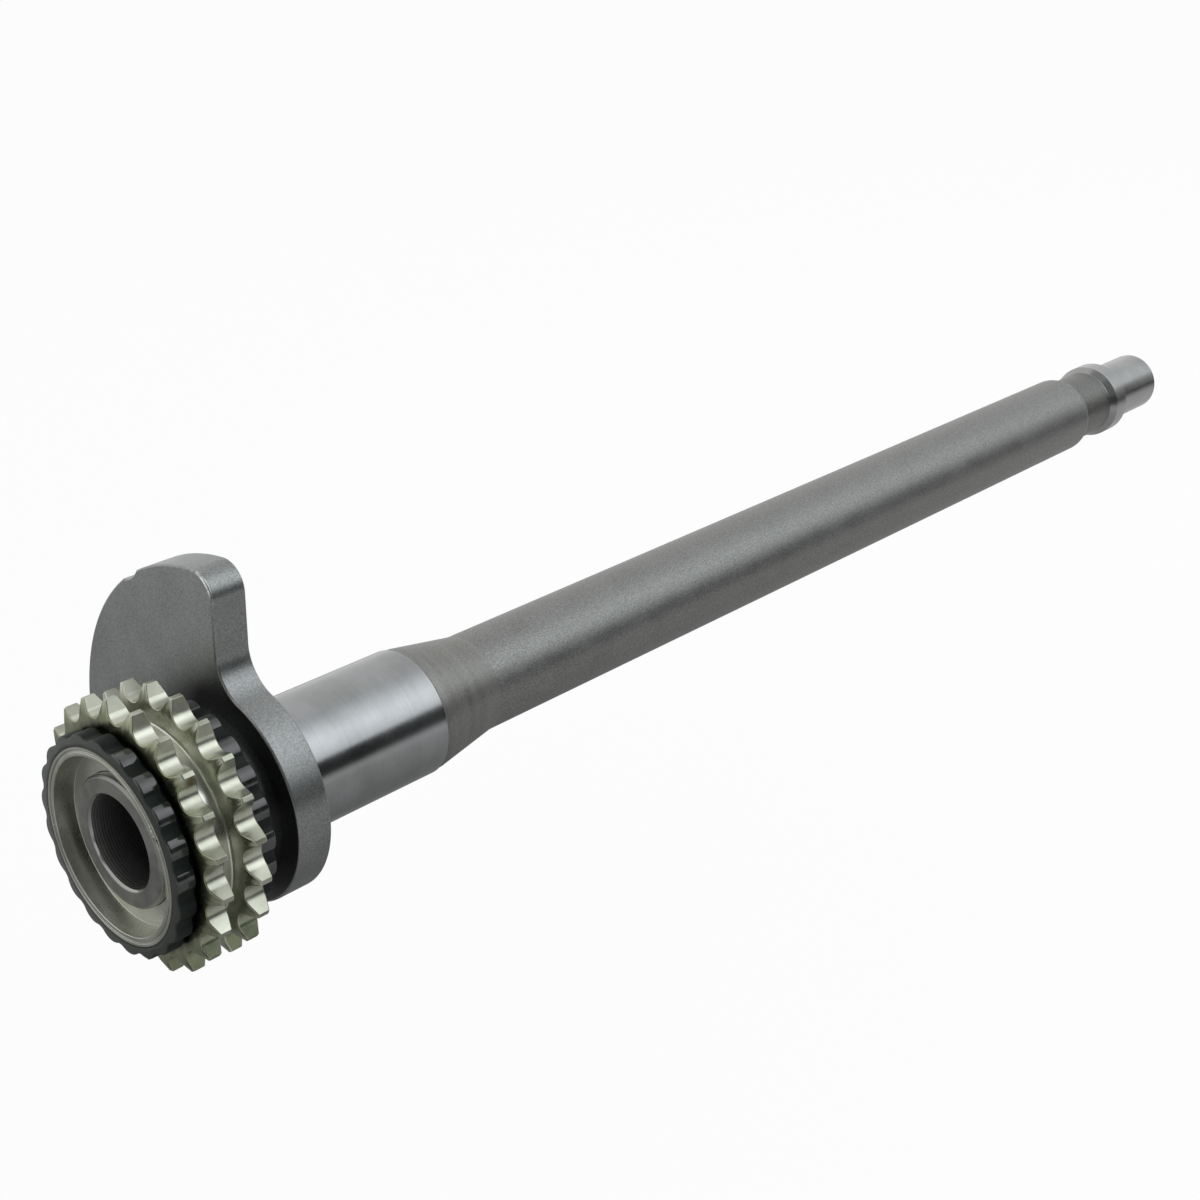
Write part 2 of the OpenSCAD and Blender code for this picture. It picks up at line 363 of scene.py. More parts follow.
def plate_line():
    """Closed outline of the counterweight plate.

    Its lobe lies along the first axis until the last turn.
    """
    corner_reach = LOBE_R - CORNER_R
    corner_angle = LOBE_HALF - math.degrees(math.asin(CORNER_R / corner_reach))
    fillet_reach = PLATE_HUB_R + FILLET_R
    fillet_angle = LOBE_HALF + math.degrees(math.asin(FILLET_R / fillet_reach))
    notch_reach = LOBE_R + NOTCH_R - NOTCH_DEPTH
    cos_notch = (LOBE_R**2 + notch_reach**2 - NOTCH_R**2) / (2 * LOBE_R * notch_reach)
    notch_half = math.degrees(math.acos(cos_notch))
    notch_centre = polar(notch_reach, NOTCH_ANGLE)
    notch_ends = []
    for side in (-1, 1):
        away = polar(LOBE_R, NOTCH_ANGLE + side * notch_half) - notch_centre
        notch_ends.append(math.degrees(math.atan2(away[1], away[0])) % 360)
    low_fillet = polar(fillet_reach, -fillet_angle)
    high_fillet = polar(fillet_reach, fillet_angle)
    low_corner = polar(corner_reach, -corner_angle)
    high_corner = polar(corner_reach, corner_angle)
    line = arc((0, 0), PLATE_HUB_R, fillet_angle, 360 - fillet_angle, HUB_ARC_STEPS)
    line += arc(low_fillet, FILLET_R, 180 - fillet_angle, 90 - LOBE_HALF, ROUND_STEPS)[1:]
    line += arc(low_corner, CORNER_R, -LOBE_HALF - 90, -corner_angle, ROUND_STEPS)
    line += arc((0, 0), LOBE_R, -corner_angle, NOTCH_ANGLE - notch_half, RIM_ARC_STEPS)[1:]
    line += arc(notch_centre, NOTCH_R, notch_ends[0], notch_ends[1], SMALL_ROUND_STEPS)[1:]
    line += arc((0, 0), LOBE_R, NOTCH_ANGLE + notch_half, corner_angle, RIM_ARC_STEPS)[1:]
    line += arc(high_corner, CORNER_R, corner_angle, LOBE_HALF + 90, ROUND_STEPS)[1:]
    line += arc(high_fillet, FILLET_R, LOBE_HALF - 90, fillet_angle - 180, ROUND_STEPS)[:-1]
    turn = math.radians(90 - LOBE_LEAN)
    spin = np.array([[math.cos(turn), math.sin(turn)], [-math.sin(turn), math.cos(turn)]])
    return np.array(line) @ spin


def add_plate(surface):
    """Counterweight plate with rounded edges, the front one in the finish of edge wear with a
    painted highlight at a corner of the lobe.
    """
    line = plate_line()
    normals = out_normals(line)
    front = [(inset, PLATE_FRONT + drop) for inset, drop in quarter_round(PLATE_ROUND, EDGE_STEPS)]
    rear = [(inset, 2 * PLATE_FRONT + PLATE_T - station) for inset, station in reversed(front)]
    grid = outline_grid([(line - normals * inset, station) for inset, station in front + rear])
    zones = [WORN_EDGE_AND_HIGHLIGHT] * EDGE_STEPS + [PLATE] * (len(front + rear) - EDGE_STEPS)
    surface.patch(grid, zones, wrap_cols=False)
    surface.cap(grid[:, 0], FACE)
    surface.cap(grid[:, -1], PLATE)


def tooth_line():
    """Closed outline of one tooth row, counter-clockwise, with rounded tooth corners."""
    touch = 180 - SEAT_ANGLE / 2
    centre = np.array([PITCH_R, 0.0])
    foot = centre + polar(SEAT_R, touch)
    flank = polar(1.0, touch - 90)
    half = foot @ flank
    reach = -half + math.sqrt(half * half - foot @ foot + TIP_R * TIP_R)
    tip = foot + flank * reach
    tip_angle = math.degrees(math.atan2(tip[1], tip[0]))
    gap = [np.array([tip[0], -tip[1]])]
    gap += arc(centre, SEAT_R, 360 - touch, touch, SMALL_ROUND_STEPS)
    gap += [tip]
    gap += arc((0, 0), TIP_R, tip_angle, STEP - tip_angle, EDGE_STEPS)[1:-1]
    line = []
    for i in range(TEETH):
        turn = math.radians(TOOTH_TURN + (i + 0.5) * STEP)
        cos, sin = math.cos(turn), math.sin(turn)
        line += [(y * cos - z * sin, y * sin + z * cos) for y, z in gap]
    rounded = soften(line, TOOTH_CORNER, closed=True, least_turn=TOOTH_LEAST_TURN)
    return np.array([p[:2] for p in rounded])


def add_tooth_row(surface, middle):
    """One row of teeth whose sides run down into the hub."""
    line = tooth_line()
    normals = out_normals(line)
    side_shift = TOOTH_SIDE_R - TOOTH_W / 2

    def half_width(points):
        above = np.clip(np.linalg.norm(points, axis=1) - ROOT_R, 0, None)
        return np.sqrt(TOOTH_SIDE_R**2 - above**2) - side_shift

    edge = line - normals * TOOTH_EDGE
    inner = line / np.linalg.norm(line, axis=1)[:, None] * (HUB_R - WEB_DROP)
    side = []
    for k in range(TOOTH_SIDE_STEPS):
        at = inner + (edge - inner) * k / TOOTH_SIDE_STEPS
        side.append((at, half_width(at)))
    for inset, drop in quarter_round(TOOTH_EDGE, EDGE_STEPS):
        at = line - normals * inset
        side.append((at, half_width(at) - drop))
    columns = [(at, middle - w) for at, w in side] + [(at, middle + w) for at, w in reversed(side)]
    zones = np.full((len(line), len(columns)), TOOTH)
    at_tip = np.linalg.norm(line, axis=1) > TIP_R - TIP_DEPTH
    zones[:, len(side) - 1] = np.where(at_tip, TIP, SEAT)
    surface.patch(outline_grid(columns), zones, wrap_cols=True)


def hub_profile():
    """Station, radius and zone round the section of the sprocket's hub, from the dish's mouth."""
    groove_front = WEB_FRONT + TOOTH_W
    groove_rear = WEB_REAR - TOOTH_W
    corner_r = GROOVE_R + GROOVE_CORNER_R
    front_corner = (groove_front + GROOVE_CORNER_R, corner_r)
    rear_corner = (groove_rear - GROOVE_CORNER_R, corner_r)
    groove = arc(front_corner, GROOVE_CORNER_R, 180, 270, SMALL_ROUND_STEPS)
    groove += arc(rear_corner, GROOVE_CORNER_R, 270, 360, SMALL_ROUND_STEPS)
    dish_mouth_r = HUB_R - RIM_W
    groove_in = HUB_R - RIM_GROOVE_IN - RIM_GROOVE_W / 2
    groove_out = HUB_R - RIM_GROOVE_IN + RIM_GROOVE_W / 2
    bore = NOSE_R + FIT_GAP
    line = [
        (HUB_FRONT, dish_mouth_r, DISH),
        (HUB_FRONT, groove_in, DISH),
        (HUB_FRONT + RIM_GROOVE_DEPTH, groove_in, DISH),
        (HUB_FRONT + RIM_GROOVE_DEPTH, groove_out, DISH),
        (HUB_FRONT, groove_out, DISH),
        (HUB_FRONT, HUB_R, TOOTH),
        (WEB_FRONT + WEB_RECESS, HUB_R, TOOTH),
        (WEB_FRONT + WEB_RECESS, WEB_R, TOOTH),
        (groove_front - WEB_RECESS, WEB_R, TOOTH),
        (groove_front - WEB_RECESS, corner_r + WEB_RECESS, TOOTH),
    ]
    line += [(p[0], p[1], GROOVE) for p in groove]
    line += [
        (groove_rear + WEB_RECESS, corner_r + WEB_RECESS, TOOTH),
        (groove_rear + WEB_RECESS, WEB_R, TOOTH),
        (WEB_REAR - WEB_RECESS, WEB_R, TOOTH),
        (WEB_REAR - WEB_RECESS, HUB_R, TOOTH),
        (HUB_REAR - EDGE, HUB_R, TOOTH),
        (HUB_REAR, HUB_R - EDGE, DISH),
        (HUB_REAR, bore + EDGE, DISH),
        (HUB_REAR - EDGE, bore, DISH),
        (DISH_FLOOR, bore, DISH),
        (DISH_FLOOR, dish_mouth_r - DISH_TAPER, DISH),
    ]
    return soften(line, HUB_SOFTNESS, closed=True)


def ring_radii():
    """Outer radius of a damper ring at even angles, with a lug behind each gap between teeth."""
    count = TEETH * LUG_STEPS
    angles = np.arange(count) * 360.0 / count
    off = np.radians((angles - TOOTH_TURN) % STEP - STEP / 2)
    reach = CREST_R - LUG_R
    across = reach * np.sin(off)
    lug = reach * np.cos(off) + np.sqrt(np.clip(LUG_R**2 - across**2, 0, None))
    lug = np.where(np.abs(across) < LUG_R, lug, 0)
    blended = np.log(np.exp(LUG_BLEND * (lug - VALLEY_R)) + 1) / LUG_BLEND + VALLEY_R
    return angles, np.minimum(blended, CREST_R)


def build_ring(name, face, way, materials, highlight_span=(0.0, 0.0)):
    """One damper ring, from its outer face at a station, towards plus or minus along the axis.

    The crests of its lugs take the second, glossier material between two angles, only where the key
    light's highlights fall.
    """
    angles, crest = ring_radii()
    around = np.radians(angles)
    unit = np.stack([np.cos(around), np.sin(around)], axis=1)
    bore = np.full_like(crest, HUB_R + FIT_GAP)
    skirt = np.full_like(crest, HUB_R + SKIRT_T)
    width = RING_SEAT_W - FIT_GAP
    edge = quarter_round(LUG_ROUND, EDGE_STEPS)
    columns = [(bore, 0.0), ((bore + crest - LUG_ROUND) / 2, 0.0)]
    columns += [(crest - inset, drop) for inset, drop in edge]
    columns += [(crest, LUG_LEN / 2)]
    columns += [(crest - inset, LUG_LEN - drop) for inset, drop in reversed(edge)]
    columns += [(skirt, LUG_LEN + SKIRT_ROUND), (skirt, width), (bore, width)]
    grid = outline_grid([(unit * r[:, None], face + way * x) for r, x in columns])
    on_crest = np.stack([r for r, _ in columns], axis=1) > CREST_R - RUBBED_DEPTH
    in_span = (angles > highlight_span[0]) & (angles < highlight_span[1])
    surface = Surface()
    surface.patch(grid, (on_crest & in_span[:, None]).astype(int), wrap_cols=True)
    return surface.build(name, materials)


# Sockets of the colour mix node
MIX_FACTOR, MIX_FIRST, MIX_SECOND, MIX_RESULT = 0, 6, 7, 2

# Stretches of a noise texture's values that carry a change of tone, roughness or edge
NOISE_ENDS = (0.38, 0.62)
WIDE_ENDS = (0.36, 0.64)
ROUGH_ENDS = (0.35, 0.65)
FRINGE_ENDS = (0.3, 0.7)

# Ragged spots: scale of the edge, and its core and fringe as shares of the reach
SPOT_GRAIN = 900.0
SPOT_CORE = 0.4
SPOT_FRINGE = 0.6


def fill_ramp(node, stops):
    """Gives a colour ramp node its stops, each a place and a colour."""
    elements = node.color_ramp.elements
    while len(elements) < len(stops):
        elements.new(0.5)
    for element, (place, colour) in zip(elements, stops):
        element.position = place
        element.color = (*colour, 1.0)


class Finish:
    """A procedural material on one principled shader."""

    def __init__(self, name, metallic, **constants):
        self.material = bpy.data.materials.new(name)
        self.material.use_nodes = True
        self.tree = self.material.node_tree
        self.shader = self.tree.nodes["Principled BSDF"]
        self.shader.inputs["Metallic"].default_value = metallic
        for socket, value in constants.items():
            self.shader.inputs[socket.replace("_", " ")].default_value = value
        self.coords = self.tree.nodes.new("ShaderNodeTexCoord").outputs["Object"]
        self.height = None

    def put(self, value, socket):
        """Sets a plain value on a socket, or links an output to it."""
        if isinstance(value, (int, float)):
            socket.default_value = value
        elif isinstance(value, tuple):
            socket.default_value = (*value, 1.0)
        else:
            self.tree.links.new(value, socket)

    def noise(self, scale, detail=3.0, roughness=0.55, stretch=None):
        """Noise texture of a scale per metre, or stretched along the three axes."""
        node = self.tree.nodes.new("ShaderNodeTexNoise")
        node.inputs["Scale"].default_value = scale
        node.inputs["Detail"].default_value = detail
        node.inputs["Roughness"].default_value = roughness
        coords = self.coords
        if stretch:
            mapping = self.tree.nodes.new("ShaderNodeMapping")
            mapping.inputs["Scale"].default_value = stretch
            self.put(self.coords, mapping.inputs["Vector"])
            coords = mapping.outputs["Vector"]
        self.put(coords, node.inputs["Vector"])
        return node.outputs["Fac"]

    def lines_along(self, scale, distortion):
        """Rings round the axis, such as a turning tool leaves."""
        node = self.tree.nodes.new("ShaderNodeTexWave")
        node.wave_type = "BANDS"
        node.bands_direction = "X"
        node.inputs["Scale"].default_value = scale
        node.inputs["Distortion"].default_value = distortion
        self.put(self.coords, node.inputs["Vector"])
        return node.outputs["Fac"]

    def along(self, axis="X"):
        """Place along an axis in metres."""
        parts = self.tree.nodes.new("ShaderNodeSeparateXYZ")
        self.put(self.coords, parts.inputs["Vector"])
        return parts.outputs[axis]

    def from_axis(self):
        """Distance from the shaft's axis in metres."""
        across = self.tree.nodes.new("ShaderNodeVectorMath")
        across.operation = "MULTIPLY"
        across.inputs[1].default_value = (0, 1, 1)
        self.put(self.coords, across.inputs[0])
        length = self.tree.nodes.new("ShaderNodeVectorMath")
        length.operation = "LENGTH"
        self.put(across.outputs["Vector"], length.inputs[0])
        return length.outputs["Value"]

    def math(self, operation, first, second=0.0):
        node = self.tree.nodes.new("ShaderNodeMath")
        node.operation = operation
        self.put(first, node.inputs[0])
        self.put(second, node.inputs[1])
        return node.outputs["Value"]

    def blend(self, first, second, share):
        """Weighted mean of two textures."""
        rest = self.math("MULTIPLY", first, 1 - share)
        return self.math("ADD", rest, self.math("MULTIPLY", second, share))

    def span(self, source, low, high, to_low, to_high):
        """Carries one stretch of values over to another."""
        node = self.tree.nodes.new("ShaderNodeMapRange")
        limits = {"From Min": low, "From Max": high, "To Min": to_low, "To Max": to_high}
        for socket, value in limits.items():
            node.inputs[socket].default_value = value
        self.put(source, node.inputs["Value"])
        return node.outputs["Result"]

    def rise(self, source, low, high):
        """Nothing below one length in millimetres, and one above the other."""
        return self.span(source, low * MM, high * MM, 0.0, 1.0)

    def fall(self, source, low, high):
        """One below one length in millimetres, and nothing above the other."""
        return self.span(source, low * MM, high * MM, 1.0, 0.0)

    def fringe(self, width, **texture):
        """Uneven length from nothing to a width in millimetres, for a ragged edge."""
        return self.span(self.noise(**texture), *FRINGE_ENDS, 0.0, width * MM)

    def spot(self, centre, reach):
        """One at a place in millimetres, falling to nothing at its ragged edge."""
        away = self.tree.nodes.new("ShaderNodeVectorMath")
        away.operation = "DISTANCE"
        away.inputs[1].default_value = Vector(centre) * MM
        self.put(self.coords, away.inputs[0])
        ragged = self.fringe(SPOT_FRINGE * reach, scale=SPOT_GRAIN)
        edge = self.math("ADD", away.outputs["Value"], ragged)
        return self.fall(edge, SPOT_CORE * reach, reach)

    def ramp(self, source, *stops):
        node = self.tree.nodes.new("ShaderNodeValToRGB")
        fill_ramp(node, stops)
        self.put(source, node.inputs["Fac"])
        return node.outputs["Color"]

    def two_tone(self, source, tones, ends=NOISE_ENDS):
        """Colour from the dark tone to the pale one along a texture."""
        return self.ramp(source, *zip(ends, tones))

    def mix(self, factor, first, second, way="MIX"):
        node = self.tree.nodes.new("ShaderNodeMix")
        node.data_type = "RGBA"
        node.blend_type = way
        self.put(factor, node.inputs[MIX_FACTOR])
        self.put(first, node.inputs[MIX_FIRST])
        self.put(second, node.inputs[MIX_SECOND])
        return node.outputs[MIX_RESULT]

    def colour(self, source):
        self.put(source, self.shader.inputs["Base Color"])

    def rough(self, source, low, high):
        self.put(self.span(source, *ROUGH_ENDS, low, high), self.shader.inputs["Roughness"])

    def bump(self, source, strength, depth_mm):
        """Adds one more texture to the relief of the surface."""
        node = self.tree.nodes.new("ShaderNodeBump")
        node.inputs["Strength"].default_value = strength
        node.inputs["Distance"].default_value = depth_mm * MM
        self.put(source, node.inputs["Height"])
        if self.height is not None:
            self.put(self.height, node.inputs["Normal"])
        self.height = node.outputs["Normal"]
        self.put(self.height, self.shader.inputs["Normal"])


# Dark and pale tone of each finish
PLATE_TONES = ((0.19, 0.197, 0.194), (0.29, 0.30, 0.297))
# The front face is the plate's steel with painted light: paler tones, and painted shade near the
# axis
FACE_TONES = ((0.24, 0.253, 0.245), (0.355, 0.373, 0.363))
JOURNAL_TONES = ((0.255, 0.262, 0.262), (0.325, 0.334, 0.338))
TAPER_TONES = ((0.17, 0.17, 0.16), (0.26, 0.26, 0.247))
ROD_TONES = ((0.17, 0.172, 0.165), (0.276, 0.278, 0.271))
NOSE_TONES = ((0.205, 0.212, 0.193), (0.285, 0.292, 0.27))
LIP_TONES = ((0.29, 0.295, 0.28), (0.36, 0.365, 0.35))
NECK_TONES = ((0.12, 0.122, 0.115), (0.20, 0.202, 0.19))
TAIL_TONES = ((0.27, 0.275, 0.27), (0.34, 0.345, 0.34))
WORN_TONES = ((0.20, 0.208, 0.204), (0.31, 0.32, 0.315))
TOOTH_TONES = ((0.415, 0.43, 0.345), (0.565, 0.577, 0.475))
DISH_TONES = ((0.47, 0.475, 0.42), (0.56, 0.565, 0.51))
SEAT_TONES = ((0.47, 0.485, 0.40), (0.625, 0.638, 0.545))
TIP_TONES = ((0.345, 0.358, 0.295), (0.465, 0.476, 0.395))
GROOVE_TONES = ((0.60, 0.61, 0.55), (0.72, 0.73, 0.67))
RUBBER_TONES = ((0.0035, 0.0065, 0.0047), (0.0085, 0.0128, 0.0102))
RUBBED_TONES = ((0.005, 0.007, 0.006), (0.016, 0.019, 0.018))

# Grain of the forging, and the turned rings of the nose in radians per metre
FORGED_GRAIN = {"scale": 2300.0, "detail": 2.0, "roughness": 0.6}
TURNED_RINGS = 22000.0

# Painted shade behind the sprocket: radii in millimetres, and pairs of share and brightness
SHADE_R = (20.0, 40.0)
SHADE_STOPS = ((0.30, 0.35), (0.55, 0.8), (0.80, 1.0))

# Painted highlight at a corner of the lobe, in millimetres
CORNER_HIGHLIGHT_PLACE = (PLATE_FRONT, 0.2, 54.0)
CORNER_HIGHLIGHT_REACH = 7.0
CORNER_HIGHLIGHT_COLOUR = (0.74, 0.79, 0.76)

# Bore: depth in millimetres over which painted shade darkens it, its tones on the way, oil and tool
# ridges
BORE_SHADE_DEPTH = 9.0
BORE_SHADE_STOPS = (
    (0.0, (0.20, 0.205, 0.195)),
    (0.35, (0.085, 0.09, 0.085)),
    (1.0, (0.022, 0.025, 0.023)),
)
OIL_COLOUR = (0.03, 0.033, 0.03)
OIL_SHARE = 0.4
RIDGE_COLOUR = (0.085, 0.089, 0.084)
RIDGE_ENDS = (0.4, 0.8)
RIDGE_SHARE = 0.25


def blasted_steel(name, tones, rough, painted_shade_near_axis=False, corner_highlight=False):
    """Matte, finely grained forging.

    The shaded one has painted shade, dark where the sprocket covers it.
    The one with the corner highlight has a painted highlight on its edge at a corner of the lobe.
    """
    f = Finish(name, metallic=1.0)
    cloud = f.noise(scale=90.0, detail=5.0)
    grain = f.noise(**FORGED_GRAIN)
    tone = f.two_tone(f.blend(cloud, grain, share=0.78), tones)
    if painted_shade_near_axis:
        # painted shade on the front face where the sprocket covers it
        share = f.rise(f.from_axis(), *SHADE_R)
        painted_shade = f.ramp(share, *((place, (level,) * 3) for place, level in SHADE_STOPS))
        tone = f.mix(1.0, tone, painted_shade, "MULTIPLY")
    if corner_highlight:
        # painted highlight on the rounded edge at a corner of the lobe
        tone = f.mix(f.spot(CORNER_HIGHLIGHT_PLACE, CORNER_HIGHLIGHT_REACH), tone, CORNER_HIGHLIGHT_COLOUR)
    f.colour(tone)
    f.rough(cloud, *rough)
    f.bump(grain, strength=0.4, depth_mm=0.05)
    f.bump(f.noise(scale=420.0), strength=0.15, depth_mm=0.06)
    return f.material


def scored_steel(name, tones):
    """Matte turned taper with soft bands round it."""
    f = Finish(name, metallic=1.0)
    bands = f.noise(scale=1.0, roughness=0.6, stretch=(520.0, 25.0, 25.0))
    grain = f.noise(**FORGED_GRAIN)
    f.colour(f.two_tone(f.blend(bands, grain, share=0.6), tones, WIDE_ENDS))
    f.rough(bands, low=0.40, high=0.46)
    f.bump(bands, strength=0.14, depth_mm=0.04)
    f.bump(grain, strength=0.35, depth_mm=0.05)
    return f.material


def ground_steel(name, tones, rough):
    """Ground and polished journal with faint lines round it."""
    f = Finish(name, metallic=1.0)
    cloud = f.noise(scale=70.0, detail=4.0)
    lines = f.noise(scale=1.0, detail=2.0, roughness=0.5, stretch=(2600.0, 60.0, 60.0))
    f.colour(f.two_tone(f.blend(cloud, lines, share=0.2), tones, WIDE_ENDS))
    f.rough(cloud, *rough)
    f.bump(lines, strength=0.03, depth_mm=0.01)
    f.bump(f.noise(scale=1400.0), strength=0.06, depth_mm=0.02)
    return f.material


def turned_steel(name, tones):
    """Turned end face with fine rings about the axis."""
    f = Finish(name, metallic=1.0)
    cloud = f.noise(scale=140.0, detail=5.0)
    rings = f.math("SINE", f.math("MULTIPLY", f.from_axis(), TURNED_RINGS))
    f.colour(f.two_tone(cloud, tones))
    f.rough(cloud, low=0.28, high=0.40)
    f.bump(rings, strength=0.12, depth_mm=0.01)
    f.bump(f.noise(scale=1500.0, detail=2.0), strength=0.15, depth_mm=0.02)
    return f.material


def bored_steel(name):
    """Bore with the rings that the boring tool left, patches of oil, and painted shade that darkens
    it further in.
    """
    f = Finish(name, metallic=0.5)
    cloud = f.noise(scale=150.0)
    # painted shade, darker further into the bore
    inwards = f.rise(f.along(), NOSE_FACE, NOSE_FACE + BORE_SHADE_DEPTH)
    tone = f.ramp(inwards, *BORE_SHADE_STOPS)
    tone = f.mix(f.span(cloud, *NOISE_ENDS, 0.0, OIL_SHARE), tone, OIL_COLOUR)
    rings = f.lines_along(scale=430.0, distortion=0.4)
    f.colour(f.mix(f.span(rings, *RIDGE_ENDS, 0.0, RIDGE_SHARE), tone, RIDGE_COLOUR))
    f.rough(cloud, low=0.32, high=0.44)
    f.bump(rings, strength=0.8, depth_mm=0.08)
    return f.material


# Stains, rust and nicks of the sprocket, with places and reaches in millimetres
STAIN_STOPS = (0.34, 0.45, 0.60)
RUST_PLACE = (-55.9, -22.6, 22.3)
RUST_REACH = 2.2
RUST_COLOUR = (0.27, 0.19, 0.10)
NICK_PLACE = (-64.2, -19.5, 10.8)
NICK_REACH = 4.2
NICK_ENDS = (0.47, 0.55)
NICK_SHARE = 0.85
NICK_COLOUR = (0.05, 0.052, 0.046)

# Darkening by the rubber rings, dull outer faces and painted shade on the lowest teeth, in
# millimetres
WEB_MIDDLE = (WEB_FRONT + WEB_REAR) / 2
WEB_HALF = (WEB_REAR - WEB_FRONT) / 2
FACE_DEPTH = 0.3
DARK_BY_RINGS_R = (26.9, 28.9)
DARK_BY_RINGS_DEPTH = 0.7
DARK_BY_RINGS_FRINGE = 1.4
DARK_BY_RINGS_COLOUR = (0.034, 0.039, 0.030)
DULL_DEPTH = 1.7
DULL_TINT = (0.642, 0.672, 0.555)
LOW_SHADE_HEIGHTS = (-18.0, -13.0)
LOW_SHADE_TINT = (0.50, 0.54, 0.42)


def on_outer_faces(f, depth):
    """One on the outer faces of the two tooth rows, falling to nothing at a depth in millimetres."""
    off_middle = f.math("ABSOLUTE", f.math("SUBTRACT", f.along(), WEB_MIDDLE * MM))
    return f.rise(off_middle, WEB_HALF - depth, WEB_HALF - FACE_DEPTH)


def darker_by_rings(f):
    """One on the outer faces of the tooth rows close to the rubber rings, with a ragged edge."""
    ragged = f.fringe(DARK_BY_RINGS_FRINGE, scale=260.0, detail=4.0)
    near = f.fall(f.math("ADD", f.from_axis(), ragged), *DARK_BY_RINGS_R)
    return f.math("MULTIPLY", on_outer_faces(f, DARK_BY_RINGS_DEPTH), near)


def sprocket_steel(name, tones, rough, stain_depth=0.25, dark_by_rings_share=0.0, low_shade=False):
    """Pale satin steel of a faint olive tone, with a few darker stains and one rusty spot.

    One kind is darker by the rubber rings, and another has painted shade on the lowest teeth.
    """
    dark, pale = tones
    stained = tuple((1.0 - stain_depth) * part for part in dark)
    f = Finish(name, metallic=1.0)
    cloud = f.noise(scale=120.0, detail=4.0)
    stain = f.noise(scale=42.0, detail=5.0, roughness=0.62)
    tone = f.ramp(f.blend(cloud, stain, share=0.5), *zip(STAIN_STOPS, (stained, dark, pale)))
    tone = f.mix(f.spot(RUST_PLACE, RUST_REACH), tone, RUST_COLOUR)
    pits = f.noise(scale=1500.0, detail=4.0, roughness=0.7)
    nick = f.math("MULTIPLY", pits, f.spot(NICK_PLACE, NICK_REACH))
    tone = f.mix(f.span(nick, *NICK_ENDS, 0.0, NICK_SHARE), tone, NICK_COLOUR)
    if dark_by_rings_share:
        tone = f.mix(on_outer_faces(f, DULL_DEPTH), tone, DULL_TINT, "MULTIPLY")
        # darker on the outer faces of the tooth rows close to the rubber rings
        tone = f.mix(f.math("MULTIPLY", darker_by_rings(f), dark_by_rings_share), tone, DARK_BY_RINGS_COLOUR)
    if low_shade:
        # painted shade, darker towards the bottom of the sprocket
        tone = f.mix(f.fall(f.along("Z"), *LOW_SHADE_HEIGHTS), tone, LOW_SHADE_TINT, "MULTIPLY")
    f.colour(tone)
    f.rough(cloud, *rough)
    f.bump(f.noise(scale=1600.0, detail=2.0), strength=0.14, depth_mm=0.02)
    f.bump(nick, strength=1.0, depth_mm=0.35)
    return f.material


# Dust on the face of the front ring, in millimetres
DUST_DEPTH = 0.4
DUST_SIDES = (-14.0, 22.0)
DUST_THIN = (0.033, 0.037, 0.033)
DUST_THICK = (0.105, 0.111, 0.104)


def damper_rubber(name):
    """Dull black rubber. The face of the front ring is dusty, more so on the side of the lobe."""
    f = Finish(name, metallic=0.0, IOR=1.5, Specular_IOR_Level=0.15)
    cloud = f.noise(scale=160.0, detail=4.0)
    tone = f.two_tone(cloud, RUBBER_TONES)
    dust = f.fall(f.along(), HUB_FRONT, HUB_FRONT + DUST_DEPTH)
    side = f.rise(f.along("Y"), *DUST_SIDES)
    f.colour(f.mix(dust, tone, f.mix(side, DUST_THIN, DUST_THICK)))
    f.rough(cloud, low=0.42, high=0.52)
    f.bump(f.noise(scale=2600.0, detail=2.0), strength=0.12, depth_mm=0.02)
    return f.material


def rubbed_rubber(name):
    """Black rubber that the chain has polished."""
    f = Finish(name, metallic=0.0, IOR=1.5, Specular_IOR_Level=0.9)
    cloud = f.noise(scale=400.0, detail=4.0)
    f.colour(f.two_tone(cloud, RUBBED_TONES))
    f.rough(cloud, low=0.11, high=0.18)
    f.bump(f.noise(scale=2600.0, detail=2.0), strength=0.08, depth_mm=0.02)
    return f.material


shaft_finishes = [
    blasted_steel("plate_steel", PLATE_TONES, rough=(0.32, 0.40)),
    blasted_steel("plate_face_steel", FACE_TONES, rough=(0.33, 0.42), painted_shade_near_axis=True),
    ground_steel("journal_steel", JOURNAL_TONES, rough=(0.15, 0.21)),
    scored_steel("taper_steel", TAPER_TONES),
    blasted_steel("rod_steel", ROD_TONES, rough=(0.41, 0.48)),
    turned_steel("nose_steel", NOSE_TONES),
    bored_steel("bore_steel"),
    ground_steel("lip_steel", LIP_TONES, rough=(0.15, 0.21)),
    blasted_steel("neck_steel", NECK_TONES, rough=(0.36, 0.44)),
    ground_steel("tail_steel", TAIL_TONES, rough=(0.2, 0.26)),
    blasted_steel("worn_edge_steel", WORN_TONES, rough=(0.28, 0.36), corner_highlight=True),
]
sprocket_finishes = [
    sprocket_steel("tooth_steel", TOOTH_TONES, rough=(0.25, 0.33), dark_by_rings_share=0.8),
    sprocket_steel("dish_steel", DISH_TONES, rough=(0.24, 0.32), stain_depth=0.05),
    sprocket_steel("seat_steel", SEAT_TONES, rough=(0.28, 0.36), low_shade=True),
    sprocket_steel("tip_steel", TIP_TONES, rough=(0.30, 0.38), low_shade=True),
    sprocket_steel("groove_steel", GROOVE_TONES, rough=(0.18, 0.26), stain_depth=0.1),
]
rubber_finishes = [damper_rubber("damper_rubber"), rubbed_rubber("rubbed_rubber")]

shaft_surface = Surface()
shaft_line = shaft_profile()
shaft_surface.patch(turned_grid(shaft_line), [p[2] for p in shaft_line], wrap_cols=False)
add_plate(shaft_surface)
shaft = shaft_surface.build("shaft_dressed", shaft_finishes)

